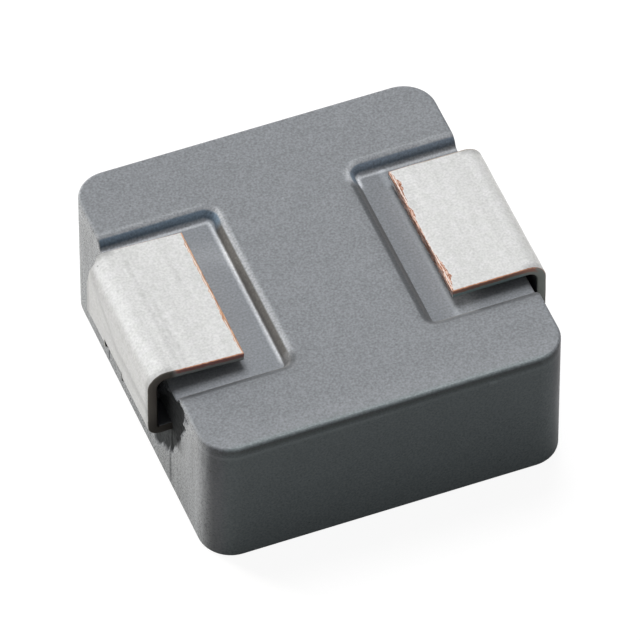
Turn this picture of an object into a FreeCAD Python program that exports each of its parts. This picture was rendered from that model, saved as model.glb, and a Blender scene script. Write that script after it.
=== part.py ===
import FreeCAD, Part
import math
import os
import Sketcher

# Shielded surface-mount power inductor, 2525 size, lying on its flat face.
# The powder body is pressed round an edge-wound coil of flat copper wire.
# Each coil end is welded to a tinned copper strip. The strip leaves the body's
# side at mid height, runs up the side and folds over into a moulded pocket.
# Lengths are millimetres. +X runs from terminal to terminal, +Z points out of
# the face that is soldered to the board, and Z = 0 is the face it rests on.

doc = FreeCAD.newDocument("shielded_inductor")
sheet = doc.addObject("Spreadsheet::Sheet", "Sizes")

# Driving dimensions: alias, value, meaning
SIZES = [
    ("body_length", 6.30, "powder body, from side face to side face"),
    ("body_width", 6.47, "powder body, from end face to end face"),
    ("body_height", 2.67, "rest face to terminal face"),
    ("body_corner", 0.57, "radius of the four upright corners"),
    ("rest_round", 0.08, "edge radius round the rest face"),
    ("face_round", 0.05, "edge radius round the terminal face"),
    ("pocket_depth", 0.20, "terminal face down to the pocket floor"),
    ("left_end_room", 0.61, "left pad's free edge to the foot of its pocket's inner wall"),
    ("right_end_room", 0.46, "right pad's free edge to the foot of its pocket's inner wall"),
    ("pocket_side_room", 0.31, "strip's edge to the foot of the pocket's side wall"),
    ("pocket_slope", 68.0, "lean of the pocket walls, in degrees"),
    ("pocket_corner", 0.10, "radius where two pocket walls meet"),
    ("pocket_lip", 0.20, "rounded upper edge of the pocket walls"),
    ("pocket_root", 0.05, "fillet between the pocket walls and floor"),
    ("groove_width", 0.07, "die witness groove below each edge of a strip"),
    ("groove_depth", 0.03, "die witness groove, into the side face"),
    ("chip_depth", 0.05, "rough relief beside the left strip, into the side face"),
    ("strip_width", 2.84, "terminal strip, across"),
    ("strip_thickness", 0.18, "terminal strip"),
    ("left_pad_end", 1.85, "body centre to the left pad's free edge"),
    ("right_pad_end", 1.80, "body centre to the right pad's free edge"),
    ("pad_proud", 0.10, "pad's solder face above the terminal face, at its free edge"),
    ("left_pad_tilt", 3.3, "rise of the left pad towards its bend, in degrees"),
    ("left_leg_gap", 0.20, "side face to the left leg"),
    ("right_leg_gap", 0.135, "side face to the right leg"),
    ("shoulder_radius", 0.16, "inner radius of the bend from leg to pad"),
    ("foot_radius", 0.03, "inner radius of the bend from leg into the body"),
    ("lead_level", 1.49, "middle of the strip where it enters the body"),
    ("lead_depth", 0.15, "full strip width inside the side face"),
    ("riser_room", 0.46, "powder between the side face and the inner riser"),
    ("riser_radius", 0.08, "inner radius of the bends inside the body"),
    ("tab_width", 1.35, "narrow weld tab, across"),
    ("weld_lap", 0.50, "weld tab over the coil end"),
    ("anchor_length", 0.80, "locking slot in the lower bend, along the strip's width"),
    ("anchor_height", 0.16, "locking slot, across"),
    ("anchor_depth", 0.10, "locking slot inside the side face"),
    ("anchor_shift", 0.20, "locking slot, off the strip's middle"),
    ("coil_room", 0.31, "powder between the inner riser and the outside of the coil"),
    ("wire_width", 1.00, "flat wire, across"),
    ("wire_thickness", 0.30, "flat wire"),
    ("turn_gap", 0.04, "enamel between two turns"),
    ("coil_turns", 3.5, "number of turns"),
    ("wire_end_angle", 38.0, "straight wire end, as the angle that its inner edge spans, in degrees"),
]

# Outline of the rough relief on the left side face: place along Y, height
CHIP_OUTLINE = [
    (-1.52, 2.60),
    (-2.02, 2.58),
    (-2.19, 2.44),
    (-2.04, 2.30),
    (-2.08, 2.12),
    (-1.90, 1.78),
    (-1.70, 1.34),
    (-1.46, 0.90),
    (-1.12, 0.68),
    (-0.82, 0.44),
    (-0.60, 0.52),
    (-0.52, 1.20),
]

for row, (alias, number, meaning) in enumerate(SIZES, 1):
    sheet.set(f"A{row}", meaning)
    sheet.set(f"B{row}", str(number))
    sheet.setAlias(f"B{row}", alias)
doc.recompute()

# Formulas that several sub-parts share
HALF_LENGTH = "Sizes.body_length / 2"
HALF_WIDTH = "Sizes.body_width / 2"
HALF_STRIP = "Sizes.strip_width / 2"
HALF_SHEET = "Sizes.strip_thickness / 2"
POCKET_FLOOR = "(Sizes.body_height - Sizes.pocket_depth)"
WALL_RUN = "Sizes.pocket_depth / tan(Sizes.pocket_slope * 1 deg)"
PITCH = "(Sizes.wire_thickness + Sizes.turn_gap)"
COIL_HEIGHT = f"({PITCH} * Sizes.coil_turns + Sizes.wire_thickness)"
COIL_BOTTOM = f"(({POCKET_FLOOR} - {COIL_HEIGHT}) / 2)"
COIL_TOP = f"({COIL_BOTTOM} + {COIL_HEIGHT})"
RISER = f"({HALF_LENGTH} - Sizes.riser_room - {HALF_SHEET})"
COIL_OUT = f"({RISER} - {HALF_SHEET} - Sizes.coil_room)"
COIL_IN = f"({COIL_OUT} - Sizes.wire_width)"
WIRE_END = f"({COIL_IN} * tan(Sizes.wire_end_angle * 1 deg))"
PAD_LEVEL = f"(Sizes.body_height + Sizes.pad_proud - {HALF_SHEET})"

BEYOND = 1.0  # how far a cutting outline runs past the solid that it cuts
CLOSE = 1e-4  # two places nearer than this are the same place


def value(formula):
    """The number that a formula on the sheet gives now."""
    result = sheet.evalExpression(formula)
    return getattr(result, "Value", result)


def negative(formula):
    return f"-({formula})"


def new_body(label):
    body = doc.addObject("PartDesign::Body", label)
    body.Label = label
    return body


def new_sketch(body, role, name, offset=None):
    """A sketch on one of the body's own origin planes, moved along its normal by offset."""
    sketch = body.newObject("Sketcher::SketchObject", name)
    plane = next(item for item in body.Origin.OriginFeatures if item.Role == role)
    sketch.AttachmentSupport = [(plane, "")]
    sketch.MapMode = "FlatFace"
    if offset is not None:
        sketch.setExpression(".AttachmentOffset.Base.z", offset)
    return sketch


def origin_axis(body, role):
    return next(item for item in body.Origin.OriginFeatures if item.Role == role)


def place(sketch, geometry, point, direction, formula):
    """Hold a point's X or Y at a formula. The distance is measured so that it is positive."""
    kind = f"Distance{direction}"
    if value(formula) >= 0:
        ends = (-1, 1, geometry, point)
        bound = formula
    else:
        ends = (geometry, point, -1, 1)
        bound = negative(formula)
    index = sketch.addConstraint(Sketcher.Constraint(kind, *ends, abs(value(formula))))
    sketch.setExpression(f"Constraints[{index}]", bound)


def rectangle(sketch, left, right, low, high):
    """A rectangle whose four sides are each held at a formula."""
    xs = [value(left), value(right), value(right), value(left)]
    ys = [value(low), value(low), value(high), value(high)]
    corners = [FreeCAD.Vector(x, y, 0) for x, y in zip(xs, ys)]
    first = sketch.GeometryCount
    for n in range(4):
        sketch.addGeometry(Part.LineSegment(corners[n], corners[(n + 1) % 4]))
    for n in range(4):
        following = first + (n + 1) % 4
        sketch.addConstraint(Sketcher.Constraint("Coincident", first + n, 2, following, 1))
        way = "Horizontal" if n % 2 == 0 else "Vertical"
        sketch.addConstraint(Sketcher.Constraint(way, first + n))
    place(sketch, first + 3, 1, "X", left)
    place(sketch, first + 1, 1, "X", right)
    place(sketch, first, 1, "Y", low)
    place(sketch, first + 2, 1, "Y", high)


def closed_outline(sketch, points):
    """Straight sides through the points, each point held where it is."""
    corners = [FreeCAD.Vector(x, y, 0) for x, y in points]
    first = sketch.GeometryCount
    for n, corner in enumerate(corners):
        sketch.addGeometry(Part.LineSegment(corner, corners[(n + 1) % len(corners)]))
    for n, (x, y) in enumerate(points):
        following = first + (n + 1) % len(points)
        sketch.addConstraint(Sketcher.Constraint("Coincident", first + n, 2, following, 1))
        place(sketch, first + n, 1, "X", f"{x}")
        place(sketch, first + n, 1, "Y", f"{y}")


def bent_path(sketch, corners, radii, first_angle):
    """Runs through the corners, level and upright in turn, joined by tangent arcs.

    The first run starts at the first corner and leaves it at an angle, which may be tilted.
    """
    points = [FreeCAD.Vector(value(x), value(y), 0) for x, y in corners]
    ways = [(b - a).normalize() for a, b in zip(points, points[1:])]
    angle = math.radians(value(first_angle))
    ways[0] = FreeCAD.Vector(math.cos(angle), math.sin(angle), 0)
    points[1].y = points[0].y + ways[0].y / ways[0].x * (points[1].x - points[0].x)
    rounds = [value(radius) for radius in radii]
    trims = [0.0]
    for n, radius in enumerate(rounds):
        trims.append(radius * math.tan(ways[n].getAngle(ways[n + 1]) / 2))
    trims.append(0.0)
    lines = []
    for n, way in enumerate(ways):
        start = points[n] + way * trims[n]
        end = points[n + 1] - way * trims[n + 1]
        lines.append(sketch.addGeometry(Part.LineSegment(start, end)))
    place(sketch, lines[0], 1, "X", corners[0][0])
    place(sketch, lines[0], 1, "Y", corners[0][1])
    turned = Sketcher.Constraint("Angle", lines[0], angle)
    sketch.setExpression(f"Constraints[{sketch.addConstraint(turned)}]", first_angle)
    for n, line in enumerate(lines[1:], 1):
        level = abs(ways[n].x) > abs(ways[n].y)
        sketch.addConstraint(Sketcher.Constraint("Horizontal" if level else "Vertical", line))
        place(sketch, line, 1, "Y" if level else "X", corners[n][1 if level else 0])
    for n, radius in enumerate(radii):
        before, after = ways[n], ways[n + 1]
        turns_left = before.cross(after).z > 0
        aside = FreeCAD.Vector(-before.y, before.x, 0) * (1 if turns_left else -1)
        centre = points[n + 1] - before * trims[n + 1] + aside * rounds[n]
        first, last = (before, after) if turns_left else (-after, -before)
        angles = [math.atan2(-way.x, way.y) for way in (first, last)]
        if angles[1] < angles[0]:
            angles[1] += 2 * math.pi
        circle = Part.Circle(centre, FreeCAD.Vector(0, 0, 1), rounds[n])
        arc = sketch.addGeometry(Part.ArcOfCircle(circle, *angles))
        incoming, outgoing = (1, 2) if turns_left else (2, 1)
        sketch.addConstraint(Sketcher.Constraint("Tangent", lines[n], 2, arc, incoming))
        sketch.addConstraint(Sketcher.Constraint("Tangent", arc, outgoing, lines[n + 1], 1))
        bend = sketch.addConstraint(Sketcher.Constraint("Radius", arc, rounds[n]))
        sketch.setExpression(f"Constraints[{bend}]", radius)
    place(sketch, lines[-1], 2, "X", corners[-1][0])


def extrude(body, kind, name, sketch, length, reverse=False, both=False, slope=None):
    """A Pad or a Pocket of a sketch, its length bound to a formula."""
    feature = body.newObject(f"PartDesign::{kind}", name)
    feature.Profile = sketch
    feature.setExpression("Length", length)
    feature.Reversed = reverse
    feature.Midplane = both
    if slope is not None:
        feature.setExpression("TaperAngle", slope)
    doc.recompute()
    return feature


def round_edges(body, name, wanted, radius):
    """A fillet on those edges of the body so far that the test picks."""
    base = body.Tip
    picked = [f"Edge{n}" for n, edge in enumerate(base.Shape.Edges, 1) if wanted(edge)]
    fillet = body.newObject("PartDesign::Fillet", name)
    fillet.Base = (base, picked)
    fillet.setExpression("Radius", radius)
    doc.recompute()
    return fillet


def near(a, b):
    return abs(a - b) < CLOSE


def is_upright(edge):
    box = edge.BoundBox
    return near(box.XLength, 0) and near(box.YLength, 0) and box.ZLength > CLOSE


def lies_at_level(edge, level):
    box = edge.BoundBox
    return near(box.ZMin, level) and near(box.ZMax, level)


# Coil: flat wire wound on edge, with a straight end over each weld tab
def make_winding():
    body = new_body("winding")
    section = new_sketch(body, "XZ_Plane", "wire_section")
    start_top = f"{COIL_BOTTOM} + Sizes.wire_thickness"
    rectangle(section, negative(COIL_OUT), negative(COIL_IN), COIL_BOTTOM, start_top)
    turns = body.newObject("PartDesign::AdditiveHelix", "wound_turns")
    turns.Profile = section
    turns.ReferenceAxis = (origin_axis(body, "Z_Axis"), [""])
    turns.Mode = "pitch-turns-angle"
    turns.setExpression("Pitch", PITCH)
    turns.setExpression("Turns", "Sizes.coil_turns")
    doc.recompute()
    first_end = new_sketch(body, "XZ_Plane", "first_end_section")
    rectangle(first_end, negative(COIL_OUT), negative(COIL_IN), COIL_BOTTOM, start_top)
    extrude(body, "Pad", "first_end", first_end, WIRE_END, reverse=True)
    last_end = new_sketch(body, "XZ_Plane", "last_end_section")
    rectangle(last_end, COIL_IN, COIL_OUT, f"{COIL_TOP} - Sizes.wire_thickness", COIL_TOP)
    extrude(body, "Pad", "last_end", last_end, WIRE_END, reverse=True)
    return body


# Terminal: one stamped strip, folded from solder pad to weld tab
def make_terminal(side, leg_gap, pad_angle, tab_level):
    """side is -1 on the left and 1 on the right; tab_level is the middle of the weld tab."""
    label = "terminal_left" if side < 0 else "terminal_right"

    def out(formula):
        return formula if side > 0 else negative(formula)

    body = new_body(label)
    pad_end = out("Sizes.left_pad_end" if side < 0 else "Sizes.right_pad_end")
    leg = out(f"{HALF_LENGTH} + {leg_gap} + {HALF_SHEET}")
    path = new_sketch(body, "XZ_Plane", f"{label}_path")
    shoulder, foot, inner = [
        f"Sizes.{name} + {HALF_SHEET}"
        for name in ("shoulder_radius", "foot_radius", "riser_radius")
    ]
    bent_path(
        path,
        [
            (pad_end, PAD_LEVEL),
            (leg, PAD_LEVEL),
            (leg, "Sizes.lead_level"),
            (out(RISER), "Sizes.lead_level"),
            (out(RISER), tab_level),
            (out(f"{COIL_OUT} - Sizes.weld_lap"), tab_level),
        ],
        [shoulder, foot, inner, inner],
        pad_angle,
    )
    section = new_sketch(body, "YZ_Plane", f"{label}_section", pad_end)
    low, high = f"{PAD_LEVEL} - {HALF_SHEET}", f"{PAD_LEVEL} + {HALF_SHEET}"
    rectangle(section, negative(HALF_STRIP), HALF_STRIP, low, high)
    strip = body.newObject("PartDesign::AdditivePipe", f"{label}_strip")
    strip.Profile = section
    strip.Spine = (path, [])
    doc.recompute()

    # inside the body only the weld tab is left, along one edge of the strip
    waste = new_sketch(body, "XY_Plane", f"{label}_waste")
    shoulder_line = out(f"{HALF_LENGTH} - Sizes.lead_depth")
    sides = sorted([shoulder_line, "0"], key=value)
    rectangle(waste, *sides, f"-{HALF_STRIP} - {BEYOND}", f"{HALF_STRIP} - Sizes.tab_width")
    extrude(body, "Pocket", f"{label}_neck", waste, POCKET_FLOOR, reverse=True)

    # powder locks into this slot when the body is pressed
    slot = new_sketch(body, "YZ_Plane", f"{label}_slot", out(f"{HALF_LENGTH} - Sizes.anchor_depth"))
    middle = "Sizes.anchor_shift" if side < 0 else "-Sizes.anchor_shift"
    half = "Sizes.anchor_length / 2"
    low = f"Sizes.lead_level - {HALF_SHEET}"
    rectangle(slot, f"{middle} - {half}", f"{middle} + {half}", low, f"{low} + Sizes.anchor_height")
    extrude(body, "Pocket", f"{label}_anchor", slot, f"{leg_gap} + {BEYOND}", reverse=side > 0)
    return body


# Powder body: rounded block with a sloped pocket for each solder pad
def make_block():
    body = new_body("core_block")
    outline = new_sketch(body, "XY_Plane", "block_outline")
    rectangle(outline, negative(HALF_LENGTH), HALF_LENGTH, negative(HALF_WIDTH), HALF_WIDTH)
    extrude(body, "Pad", "block", outline, "Sizes.body_height")
    round_edges(body, "upright_corners", is_upright, "Sizes.body_corner")
    round_edges(body, "rest_edges", lambda edge: lies_at_level(edge, 0), "Sizes.rest_round")
    for side in (-1, 1):
        cut_pocket(body, side)
    top = value("Sizes.body_height")
    corner = value("Sizes.body_corner")

    def is_rim(edge):
        middle = edge.BoundBox.Center
        past_x = abs(middle.x) > value(HALF_LENGTH) - corner
        past_y = abs(middle.y) > value(HALF_WIDTH) - corner
        return lies_at_level(edge, top) and (past_x or past_y)

    round_edges(body, "face_edges", is_rim, "Sizes.face_round")
    for side in (-1, 1):
        cut_grooves(body, side)
    cut_chip(body)
    return body


def cut_pocket(body, side):
    """The recess under one solder pad: sloped walls, a rounded lip and a filleted foot."""
    name = "left" if side < 0 else "right"
    mouth = new_sketch(body, "XY_Plane", f"{name}_pocket_mouth", "Sizes.body_height")
    inner = f"Sizes.{name}_pad_end - Sizes.{name}_end_room - {WALL_RUN}"
    outer = f"{HALF_LENGTH} + {BEYOND}"
    across = f"{HALF_STRIP} + Sizes.pocket_side_room + {WALL_RUN}"
    if side < 0:
        rectangle(mouth, negative(outer), negative(inner), negative(across), across)
    else:
        rectangle(mouth, inner, outer, negative(across), across)
    slope = "Sizes.pocket_slope * 1 deg - 90 deg"
    extrude(body, "Pocket", f"{name}_pocket", mouth, "Sizes.pocket_depth", slope=slope)
    top, floor, wall = value("Sizes.body_height"), value(POCKET_FLOOR), value(across)

    def on_side(edge):
        return edge.BoundBox.Center.x * side > 0 and edge.BoundBox.YMax < wall + CLOSE

    def joins_walls(edge):
        box = edge.BoundBox
        spans = near(box.ZMin, floor) and near(box.ZMax, top)
        return on_side(edge) and spans and box.XLength > CLOSE

    def is_lip(edge):
        box = edge.BoundBox
        inside = abs(box.Center.x) < value(HALF_LENGTH) - CLOSE
        within = box.YMin > -wall - CLOSE
        return on_side(edge) and lies_at_level(edge, top) and inside and within

    def is_root(edge):
        inside = abs(edge.BoundBox.Center.x) < value(HALF_LENGTH) - CLOSE
        return on_side(edge) and lies_at_level(edge, floor) and inside

    round_edges(body, f"{name}_pocket_corners", joins_walls, "Sizes.pocket_corner")
    round_edges(body, f"{name}_pocket_root", is_root, "Sizes.pocket_root")
    round_edges(body, f"{name}_pocket_lip", is_lip, "Sizes.pocket_lip")


def cut_grooves(body, side):
    """The line that the die leaves on the side face under each edge of the strip."""
    name = "left" if side < 0 else "right"
    face = HALF_LENGTH if side > 0 else negative(HALF_LENGTH)
    for edge in (-1, 1):
        where = f"{edge} * {HALF_STRIP}"
        sketch = new_sketch(body, "YZ_Plane", f"{name}_groove_{'near' if edge < 0 else 'far'}", face)
        half = "Sizes.groove_width / 2"
        rectangle(sketch, f"{where} - {half}", f"{where} + {half}", "-Sizes.rest_round", "Sizes.lead_level")
        extrude(body, "Pocket", f"{sketch.Name}_cut", sketch, "Sizes.groove_depth", reverse=side < 0)


def cut_chip(body):
    """The shallow rough relief in the left side face, beside the strip."""
    sketch = new_sketch(body, "YZ_Plane", "chip_outline", negative(HALF_LENGTH))
    closed_outline(sketch, CHIP_OUTLINE)
    extrude(body, "Pocket", "chip", sketch, "Sizes.chip_depth", reverse=True)


def press_round(block, parts):
    """The block with the space of each buried part taken out of it."""
    body = block
    for part in parts:
        cut = doc.addObject("Part::Cut", f"core_less_{part.Label}")
        cut.Base = body
        cut.Tool = part
        body = cut
    body.Label = "core_body"
    doc.recompute()
    return body


winding = make_winding()
left_tab = f"({COIL_BOTTOM} - {HALF_SHEET})"
right_tab = f"({COIL_TOP} + {HALF_SHEET})"
tilted = "180 deg - Sizes.left_pad_tilt * 1 deg"
terminal_left = make_terminal(-1, "Sizes.left_leg_gap", tilted, left_tab)
terminal_right = make_terminal(1, "Sizes.right_leg_gap", "0 deg", right_tab)
core_body = press_round(make_block(), [winding, terminal_left, terminal_right])
subparts = [core_body, winding, terminal_left, terminal_right]

doc.recompute()
for item in doc.Objects:
    if "Invalid" in item.State or "Error" in item.State:
        raise RuntimeError(f"{item.Name} did not build: {item.State}")
for part in subparts:
    if part.Shape.isNull() or not part.Shape.isValid():
        raise RuntimeError(f"{part.Label} has no valid shape")

os.makedirs("parts", exist_ok=True)
for part in subparts:
    part.Shape.exportStep(f"parts/{part.Label}.step")
    box = part.Shape.BoundBox
    print(
        f"{part.Label}: {len(part.Shape.Solids)} solid, {part.Shape.Volume:.4f} mm3,",
        f"X {box.XMin:.3f} to {box.XMax:.3f}, Y {box.YMin:.3f} to {box.YMax:.3f},",
        f"Z {box.ZMin:.3f} to {box.ZMax:.3f}",
    )
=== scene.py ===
# %% [markdown]
# # A moulded power inductor, dressed for a studio picture
#
# The part is a few millimetres across: a block of pressed iron powder with two
# folded strips of tinned copper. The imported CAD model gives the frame, and this
# lesson puts finely shaped surfaces and real finishes on it.

# %% Load the frame
import bmesh
import bpy
import math
from mathutils import Matrix, Vector, noise


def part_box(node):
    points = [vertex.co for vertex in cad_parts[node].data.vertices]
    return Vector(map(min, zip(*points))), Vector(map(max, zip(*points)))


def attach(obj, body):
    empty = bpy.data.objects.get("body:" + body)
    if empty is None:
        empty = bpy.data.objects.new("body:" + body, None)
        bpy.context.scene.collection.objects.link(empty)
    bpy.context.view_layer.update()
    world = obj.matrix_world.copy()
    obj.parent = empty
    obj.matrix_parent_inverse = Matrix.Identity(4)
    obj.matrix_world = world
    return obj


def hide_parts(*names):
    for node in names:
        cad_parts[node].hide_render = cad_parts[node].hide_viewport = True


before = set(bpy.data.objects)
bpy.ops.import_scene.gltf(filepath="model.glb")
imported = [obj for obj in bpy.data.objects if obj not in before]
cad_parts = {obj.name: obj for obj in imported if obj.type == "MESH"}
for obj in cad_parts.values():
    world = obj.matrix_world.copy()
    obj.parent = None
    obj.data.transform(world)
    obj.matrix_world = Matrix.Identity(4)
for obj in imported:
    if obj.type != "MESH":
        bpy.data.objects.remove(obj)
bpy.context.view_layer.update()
print("CAD nodes:", ", ".join(sorted(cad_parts)))

# %% [markdown]
# ## Working in millimetres
#
# Blender counts in metres, and this part's finest edges are hundredths of a
# millimetre. Modelling in millimetres keeps the numbers readable and well above
# the merge distances of the mesh tools. Each mesh is scaled once, at its end.

# %% Millimetres, and the sizes that the frame gives
MM = 0.001


def node_box(name):
    """Lowest and highest corner of a CAD node, in millimetres."""
    low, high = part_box(name)
    return low / MM, high / MM


_, body_high = node_box("core_body")
left_low, left_high = node_box("terminal_left")
right_low, right_high = node_box("terminal_right")
HALF_LENGTH = body_high.x
HALF_WIDTH = body_high.y
TOP = body_high.z
print(f"body {2 * HALF_LENGTH:.2f} x {2 * HALF_WIDTH:.2f} x {TOP:.2f} mm")

# %% [markdown]
# ## One helper to finish a piece
#
# Every piece ends the same way: its normals are made to point outwards, it is
# scaled to metres, it rides on the part's only body, and it stands for one CAD
# node. The Weighted Normal modifier lets the large flat faces keep their own
# normals, so that a rounded edge doesn't spread its shading over them.


# %% Make an object of a finished mesh
def near(a, b, slack=1e-3):
    return abs(a - b) < slack


def finish_piece(bm, name, node, materials):
    bmesh.ops.remove_doubles(bm, verts=bm.verts, dist=1e-4)
    bmesh.ops.recalc_face_normals(bm, faces=bm.faces)
    bmesh.ops.scale(bm, vec=(MM, MM, MM), verts=bm.verts)
    for face in bm.faces:
        face.smooth = True
    mesh = bpy.data.meshes.new(name)
    bm.to_mesh(mesh)
    bm.free()
    piece = bpy.data.objects.new(name, mesh)
    bpy.context.scene.collection.objects.link(piece)
    for material in materials:
        mesh.materials.append(material)
    weighted = piece.modifiers.new("flat_faces_first", "WEIGHTED_NORMAL")
    weighted.keep_sharp = True
    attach(piece, "root")
    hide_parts(node)
    triangles = sum(len(polygon.vertices) - 2 for polygon in mesh.polygons)
    print(f"{name}: {triangles} triangles")
    return piece


# %% [markdown]
# ## Shader maths as plain expressions
#
# Node trees are easier to read as formulas. A small class wraps one output
# socket, and each operator adds one Math node. Any other node comes from one
# method, which takes the node's type, its settings and its inputs. The materials
# use it, and so does the world round the part.


# %% A wrapped socket
class Varying:
    """A number, colour or vector that changes from place to place."""

    def __init__(self, wiring, socket):
        self.wiring = wiring
        self.socket = socket

    def math(self, operation, *others):
        inputs = dict(enumerate((self, *others)))
        return self.wiring.node("ShaderNodeMath", {"operation": operation}, inputs)

    def __add__(self, other):
        return self.math("ADD", other)

    def __sub__(self, other):
        return self.math("SUBTRACT", other)

    def __rsub__(self, other):
        inputs = {0: other, 1: self}
        return self.wiring.node("ShaderNodeMath", {"operation": "SUBTRACT"}, inputs)

    def __mul__(self, other):
        return self.math("MULTIPLY", other)

    def __abs__(self):
        return self.math("ABSOLUTE")

    def __gt__(self, other):
        return self.math("GREATER_THAN", other)

    def __lt__(self, other):
        return self.math("LESS_THAN", other)

    def root(self):
        return self.math("SQRT")

    def at_least(self, other):
        return self.math("MAXIMUM", other)

    def rise(self, low, high):
        """0 below low, 1 above high, and a smooth slope between. low may exceed high."""
        settings = {"interpolation_type": "SMOOTHSTEP"}
        ends = {"Value": self, "From Min": low, "From Max": high}
        return self.wiring.node("ShaderNodeMapRange", settings, ends)

    __radd__ = __add__
    __rmul__ = __mul__


# %% Wiring: the nodes of one tree, and the shader that they feed
class Wiring:
    def __init__(self, tree, shader):
        self.tree = tree
        self.shader = tree.nodes[shader]

    def node(self, kind, settings=None, inputs=None, out=0):
        made = self.tree.nodes.new(kind)
        for name, setting in (settings or {}).items():
            setattr(made, name, setting)
        for name, given in (inputs or {}).items():
            if isinstance(given, Varying):
                self.tree.links.new(given.socket, made.inputs[name])
            else:
                made.inputs[name].default_value = given
        return Varying(self, made.outputs[out])

    def split(self, vector):
        first = self.node("ShaderNodeSeparateXYZ", inputs={0: vector}, out="X")
        outputs = first.socket.node.outputs
        return [Varying(self, outputs[axis]) for axis in ("X", "Y", "Z")]

    def mix(self, share, first, second):
        """first where share is 0 and second where it is 1; both are colours."""
        inputs = {"Factor": share, 6: first, 7: second}
        return self.node("ShaderNodeMix", {"data_type": "RGBA"}, inputs, out=2)

    def scaled(self, vector, factor):
        """A vector or a colour, times a number."""
        inputs = {0: vector, "Scale": factor}
        return self.node("ShaderNodeVectorMath", {"operation": "SCALE"}, inputs)

    def feed(self, socket, varying):
        self.tree.links.new(varying.socket, self.shader.inputs[socket])


# %% A finish: one material with its Principled shader
class Finish(Wiring):
    def __init__(self, name, **constants):
        self.material = bpy.data.materials.new(name)
        self.material.use_nodes = True
        super().__init__(self.material.node_tree, "Principled BSDF")
        for socket, constant in constants.items():
            self.shader.inputs[socket.replace("_", " ")].default_value = constant
        self.place = self.scaled(self.node("ShaderNodeTexCoord", out="Object"), 1 / MM)
        self.x, self.y, self.z = self.split(self.place)

    def stored(self, name):
        """The value that the mesh stores under that name."""
        return self.node("ShaderNodeAttribute", {"attribute_name": name}, out="Fac")

    def stretched(self, x, y, z):
        """The place in millimetres, each axis multiplied by its own factor."""
        inputs = {0: self.place, 1: (x, y, z)}
        return self.node("ShaderNodeVectorMath", {"operation": "MULTIPLY"}, inputs)

    def grain(self, size, detail=2.0, place=None, roughness=0.5):
        """Soft noise around 0.5, with features of about that size in millimetres."""
        inputs = {"Vector": place or self.place, "Scale": 1 / size,
                  "Detail": detail, "Roughness": roughness}
        return self.node("ShaderNodeTexNoise", None, inputs, out=0)

    def specks(self, spacing, radius, share):
        """1 in round dots: one cell in so many holds a dot of that radius."""
        inputs = {"Vector": self.place, "Scale": 1 / spacing}
        cell = self.node("ShaderNodeTexVoronoi", None, inputs, out="Distance")
        colour = Varying(self, cell.socket.node.outputs["Color"])
        chance = self.split(colour)[0]
        return (cell * spacing).rise(radius, radius * 0.5) * (chance < share)

    def relief(self, height, depth):
        """Height, around 0 to 1, as a bump of that depth in millimetres."""
        inputs = {"Height": height, "Distance": depth * MM, "Strength": 1.0}
        self.feed("Normal", self.node("ShaderNodeBump", None, inputs))


# %% [markdown]
# ## The powder block's own sizes
#
# The block is a simple brick with one recess at each end. Its recess walls lean
# and their upper edges are well rounded, because the punch that forms them has
# to lift out of the powder. All of it follows from these few sizes. Where the
# two sides differ, -1 stands for the left one and 1 for the right one.

# %% Sizes of the pockets and edges
STRIP_HALF = left_high.y
STRIP_THICKNESS = 0.18
PAD_END = {-1: 1.85, 1: 1.80}
POCKET_DEPTH = 0.20
END_ROOM = {-1: 0.61, 1: 0.46}
POCKET_SIDE_ROOM = 0.31
POCKET_SLOPE = math.radians(68)
BODY_CORNER = 0.57
POCKET_CORNER = 0.10
POCKET_LIP = 0.20
POCKET_ROOT = 0.05
RIM_ROUND = 0.05
REST_ROUND = 0.08

FLOOR = TOP - POCKET_DEPTH
WALL_RUN = POCKET_DEPTH / math.tan(POCKET_SLOPE)
FOOT_X = {side: PAD_END[side] - END_ROOM[side] for side in (-1, 1)}
FOOT_Y = STRIP_HALF + POCKET_SIDE_ROOM
LIP_X = {side: FOOT_X[side] - WALL_RUN for side in (-1, 1)}
LIP_Y = FOOT_Y + WALL_RUN
print(f"pocket feet {FOOT_X[-1]:.2f} mm left and {FOOT_X[1]:.2f} mm right of the middle")

# %% [markdown]
# ## Cutting the brick into cells
#
# A recess could be a boolean, but a boolean leaves an untidy mesh that doesn't
# bevel well. Here the cube is sliced along the lines where the recess begins,
# so the cells over it can be pushed down as one group. The slicing lines that
# still lie in flat faces are dissolved, and every edge of the recess is left as
# one clean chain that a bevel can follow.


# %% Slice a mesh, or some of its faces, with a plane
def slice_at(bm, axis, place, faces=None):
    chosen = list(bm.faces) if faces is None else [face for face in faces if face.is_valid]
    around = {item for face in chosen for item in (*face.verts, *face.edges)}
    point = Vector((0, 0, 0))
    point[axis] = place
    normal = Vector((0, 0, 0))
    normal[axis] = 1
    bmesh.ops.bisect_plane(bm, geom=chosen + list(around), plane_co=point, plane_no=normal)


def brick():
    bm = bmesh.new()
    bmesh.ops.create_cube(bm, size=1)
    size = (2 * HALF_LENGTH, 2 * HALF_WIDTH, TOP)
    bmesh.ops.scale(bm, vec=size, verts=bm.verts)
    bmesh.ops.translate(bm, vec=(0, 0, TOP / 2), verts=bm.verts)
    for side in (-1, 1):
        slice_at(bm, 0, side * LIP_X[side])
        slice_at(bm, 1, side * LIP_Y)
    slice_at(bm, 2, FLOOR)
    return bm


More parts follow.
